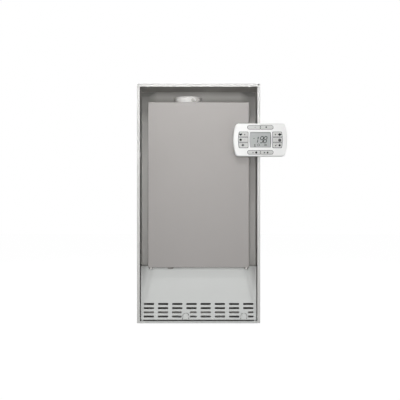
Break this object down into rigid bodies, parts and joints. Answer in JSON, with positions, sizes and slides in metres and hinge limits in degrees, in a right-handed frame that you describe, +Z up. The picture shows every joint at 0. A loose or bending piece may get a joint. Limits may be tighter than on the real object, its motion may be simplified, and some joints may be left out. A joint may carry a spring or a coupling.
{
  "type": "condensing boiler",
  "caption": "Built-in condensing boiler hung in an open recess box, with a flue collar on top, a slotted lower grille and a hooked-on remote control with display and keys.",
  "frame": {"origin": "middle of the recess box's underside", "axes": "+Z up, -Y towards the room, +X to the viewer's right, the side that carries the control"},
  "size_m": [0.727, 0.2795, 1.165],
  "materials": {
    "recess_steel": "satin powder coat",
    "casing_steel": "satin paint",
    "zinc_steel": "zinc plated",
    "collar_plastic": "moulded",
    "stainless": "pressed",
    "cast_aluminium": "die cast",
    "black_plastic": "moulded",
    "composite": "glass-filled moulding",
    "brass": "machined",
    "copper": "drawn tube",
    "pump_iron": "cast",
    "hose_rubber": "extruded",
    "electrode_ceramic": "fired",
    "vessel_paint": "gloss paint",
    "lever_paint": "dipped",
    "control_white": "fine satin moulding",
    "board_laminate": "laminate",
    "display_film": "liquid crystal panel",
    "key_grey": "moulded"
  },
  "bodies": {
    "boiler": {"box_left_side": "recess_steel", "box_right_side": "recess_steel", "box_top_panel": "recess_steel", "box_bottom_panel": "recess_steel", "box_back_panel": "recess_steel", "lower_grille": "recess_steel", "front_cover": "casing_steel", "casing_wrap": "casing_steel", "casing_floor": "casing_steel", "hanging_bracket": "zinc_steel", "rear_frame": "zinc_steel", "cover_screws": "zinc_steel", "control_screws": "zinc_steel", "flue_collar": "collar_plastic", "flue_test_caps": "collar_plastic", "flue_duct": "collar_plastic", "condensate_trap": "collar_plastic", "exchanger_coil": "stainless", "burner_tube": "stainless", "plate_exchanger": "stainless", "exchanger_shell": "cast_aluminium", "burner_door": "cast_aluminium", "fan_housing": "cast_aluminium", "gas_mixer": "cast_aluminium", "gas_valve": "cast_aluminium", "fan_motor": "black_plastic", "pump_motor": "black_plastic", "diverter_motor": "black_plastic", "electronics_box": "black_plastic", "flow_block": "composite", "return_block": "composite", "service_valves": "brass", "safety_valve": "brass", "water_pipes": "copper", "gas_pipes": "copper", "pump_housing": "pump_iron", "condensate_hoses": "hose_rubber", "ignition_electrodes": "electrode_ceramic", "expansion_vessel": "vessel_paint", "control_wall_plate": "control_white"},
    "control": {"control_rear_shell": "control_white", "control_front_shell": "control_white", "control_board": "board_laminate", "display_panel": "display_film"},
    "fan_wheel": {"fan_impeller": "black_plastic"},
    "pump_wheel": {"pump_impeller": "black_plastic"},
    "flow_lever": {"flow_valve_lever": "lever_paint"},
    "gas_lever": {"gas_cock_lever": "lever_paint"},
    "cold_lever": {"cold_valve_lever": "lever_paint"},
    "return_lever": {"return_valve_lever": "lever_paint"},
    "key_left_upper_cap": {"key_left_upper": "key_grey"},
    "key_left_middle_cap": {"key_left_middle": "key_grey"},
    "key_left_lower_cap": {"key_left_lower": "key_grey"},
    "key_right_upper_cap": {"key_right_upper": "key_grey"},
    "key_right_middle_cap": {"key_right_middle": "key_grey"},
    "key_right_lower_cap": {"key_right_lower": "key_grey"},
    "key_top_left_cap": {"key_top_left": "key_grey"},
    "key_top_right_cap": {"key_top_right": "key_grey"},
    "key_bottom_left_cap": {"key_bottom_left": "key_grey"},
    "key_bottom_right_cap": {"key_bottom_right": "key_grey"}
  },
  "joints": [
    {"name": "control_lift", "type": "slide", "parent": "boiler", "child": "control", "axis": [0, 0, 1], "range_m": [0, 0.014]},
    {"name": "key_left_upper_press", "type": "slide", "parent": "control", "child": "key_left_upper_cap", "axis": [0, 1, 0], "range_m": [0, 0.001], "stiffness_N_per_m": 1200},
    {"name": "key_left_middle_press", "type": "slide", "parent": "control", "child": "key_left_middle_cap", "axis": [0, 1, 0], "range_m": [0, 0.001], "stiffness_N_per_m": 1200},
    {"name": "key_left_lower_press", "type": "slide", "parent": "control", "child": "key_left_lower_cap", "axis": [0, 1, 0], "range_m": [0, 0.001], "stiffness_N_per_m": 1200},
    {"name": "key_right_upper_press", "type": "slide", "parent": "control", "child": "key_right_upper_cap", "axis": [0, 1, 0], "range_m": [0, 0.001], "stiffness_N_per_m": 1200},
    {"name": "key_right_middle_press", "type": "slide", "parent": "control", "child": "key_right_middle_cap", "axis": [0, 1, 0], "range_m": [0, 0.001], "stiffness_N_per_m": 1200},
    {"name": "key_right_lower_press", "type": "slide", "parent": "control", "child": "key_right_lower_cap", "axis": [0, 1, 0], "range_m": [0, 0.001], "stiffness_N_per_m": 1200},
    {"name": "key_top_left_press", "type": "slide", "parent": "control", "child": "key_top_left_cap", "axis": [0, 1, 0], "range_m": [0, 0.001], "stiffness_N_per_m": 1200},
    {"name": "key_top_right_press", "type": "slide", "parent": "control", "child": "key_top_right_cap", "axis": [0, 1, 0], "range_m": [0, 0.001], "stiffness_N_per_m": 1200},
    {"name": "key_bottom_left_press", "type": "slide", "parent": "control", "child": "key_bottom_left_cap", "axis": [0, 1, 0], "range_m": [0, 0.001], "stiffness_N_per_m": 1200},
    {"name": "key_bottom_right_press", "type": "slide", "parent": "control", "child": "key_bottom_right_cap", "axis": [0, 1, 0], "range_m": [0, 0.001], "stiffness_N_per_m": 1200},
    {"name": "fan_spin", "type": "hinge", "parent": "boiler", "child": "fan_wheel", "pos_m": [0.15, -0.06, 0.892], "axis": [0, 1, 0], "continuous": true},
    {"name": "pump_spin", "type": "hinge", "parent": "boiler", "child": "pump_wheel", "pos_m": [0.172, 0.025, 0.4224], "axis": [0, 1, 0], "continuous": true},
    {"name": "flow_valve_turn", "type": "hinge", "parent": "boiler", "child": "flow_lever", "pos_m": [-0.134, -0.004, 0.1322], "axis": [0, 1, 0], "range_deg": [0, 90]},
    {"name": "gas_valve_turn", "type": "hinge", "parent": "boiler", "child": "gas_lever", "pos_m": [0, -0.004, 0.1322], "axis": [0, 1, 0], "range_deg": [0, 90]},
    {"name": "cold_valve_turn", "type": "hinge", "parent": "boiler", "child": "cold_lever", "pos_m": [0.067, -0.004, 0.1322], "axis": [0, 1, 0], "range_deg": [0, 90]},
    {"name": "return_valve_turn", "type": "hinge", "parent": "boiler", "child": "return_lever", "pos_m": [0.134, -0.004, 0.1322], "axis": [0, 1, 0], "range_deg": [0, 90]}
  ]
}
